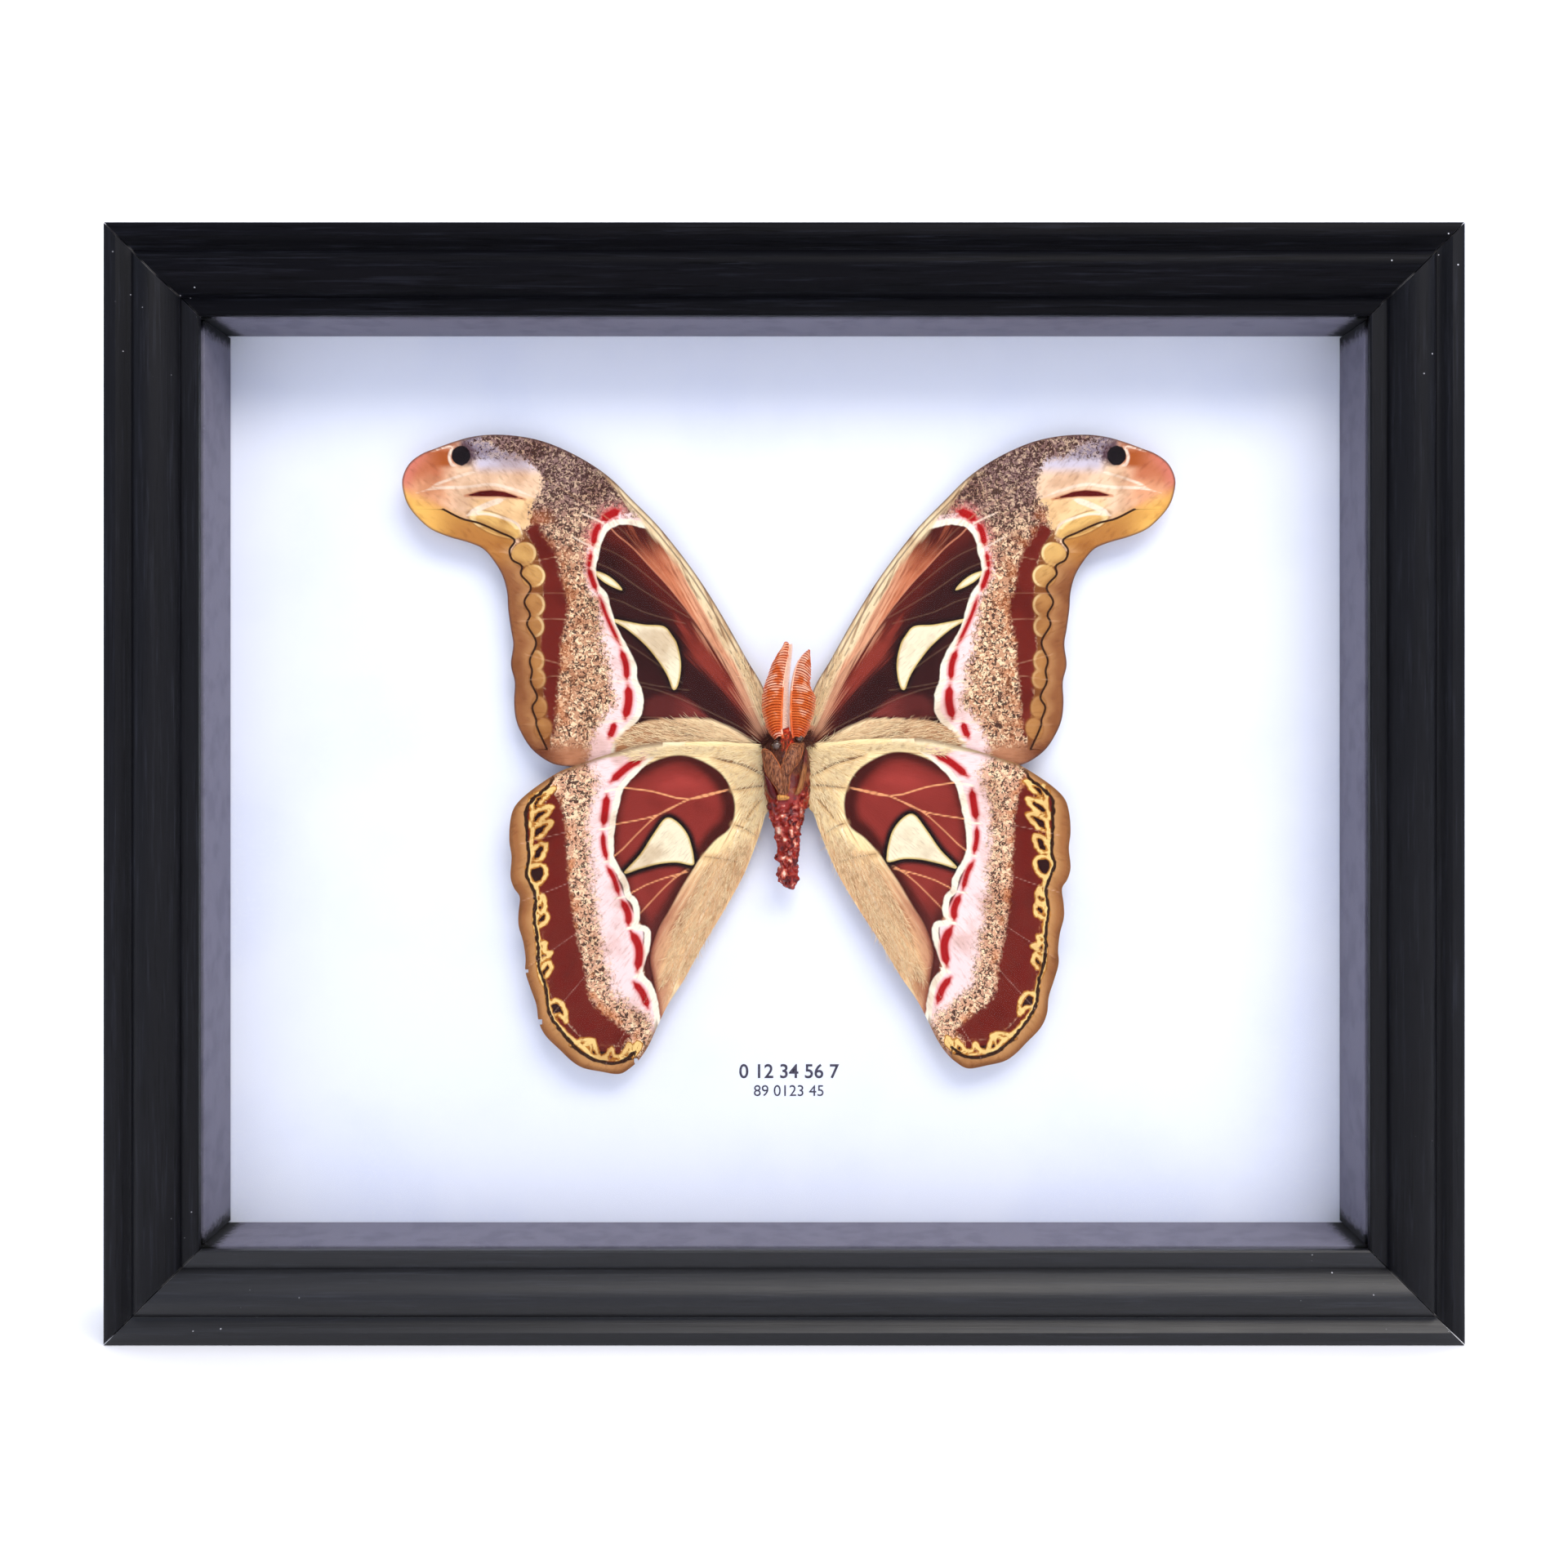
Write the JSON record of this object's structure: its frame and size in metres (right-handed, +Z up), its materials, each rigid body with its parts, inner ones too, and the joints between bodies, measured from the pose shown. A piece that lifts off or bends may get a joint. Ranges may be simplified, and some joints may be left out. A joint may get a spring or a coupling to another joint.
{
  "type": "framed moth specimen",
  "caption": "Giant silk moth spread underside out on a white board, behind glass in a deep black wooden box frame that stands or hangs.",
  "frame": {"origin": "centre of the bottom rail's underside, where the frame stands", "axes": "+X to the viewer's right, +Y from the glass to the back, +Z up"},
  "size_m": [0.337, 0.04, 0.278],
  "materials": {
    "black_wood": "black paint over fine open grain, satin, with pale mitre lines",
    "glass": "clear picture glass",
    "spacer_card": "matt grey card strip, black at the corners",
    "white_card": "smooth matt white mount board",
    "fibreboard": "raw brown fibreboard",
    "steel": "zinc plated, lightly worn",
    "moth_body": "wine red dried body, glossy where the scales are lost",
    "wing": "maroon, tan and cream scales with pale windows and speckled bands",
    "antenna": "rust orange combs",
    "leg": "brown furred legs",
    "glue": "clear set glue"
  },
  "bodies": {
    "root": {"rail_top": "black_wood", "rail_bottom": "black_wood", "rail_left": "black_wood", "rail_right": "black_wood", "glass_pane": "glass", "spacer_top": "spacer_card", "spacer_bottom": "spacer_card", "spacer_left": "spacer_card", "spacer_right": "spacer_card", "backing_board": "white_card", "back_panel": "fibreboard", "panel_tab_1": "steel", "panel_tab_2": "steel", "panel_tab_3": "steel", "panel_tab_4": "steel", "panel_tab_5": "steel", "panel_tab_6": "steel", "panel_tab_7": "steel", "panel_tab_8": "steel", "hanger": "steel", "hanger_nail_left": "steel", "hanger_nail_right": "steel", "moth_body": "moth_body", "forewing_left": "wing", "forewing_right": "wing", "hindwing_left": "wing", "hindwing_right": "wing", "antenna_left": "antenna", "antenna_right": "antenna", "foreleg_left": "leg", "foreleg_right": "leg", "midleg_left": "leg", "midleg_right": "leg", "hindleg_left": "leg", "glue_pad": "glue"}
  },
  "joints": []
}
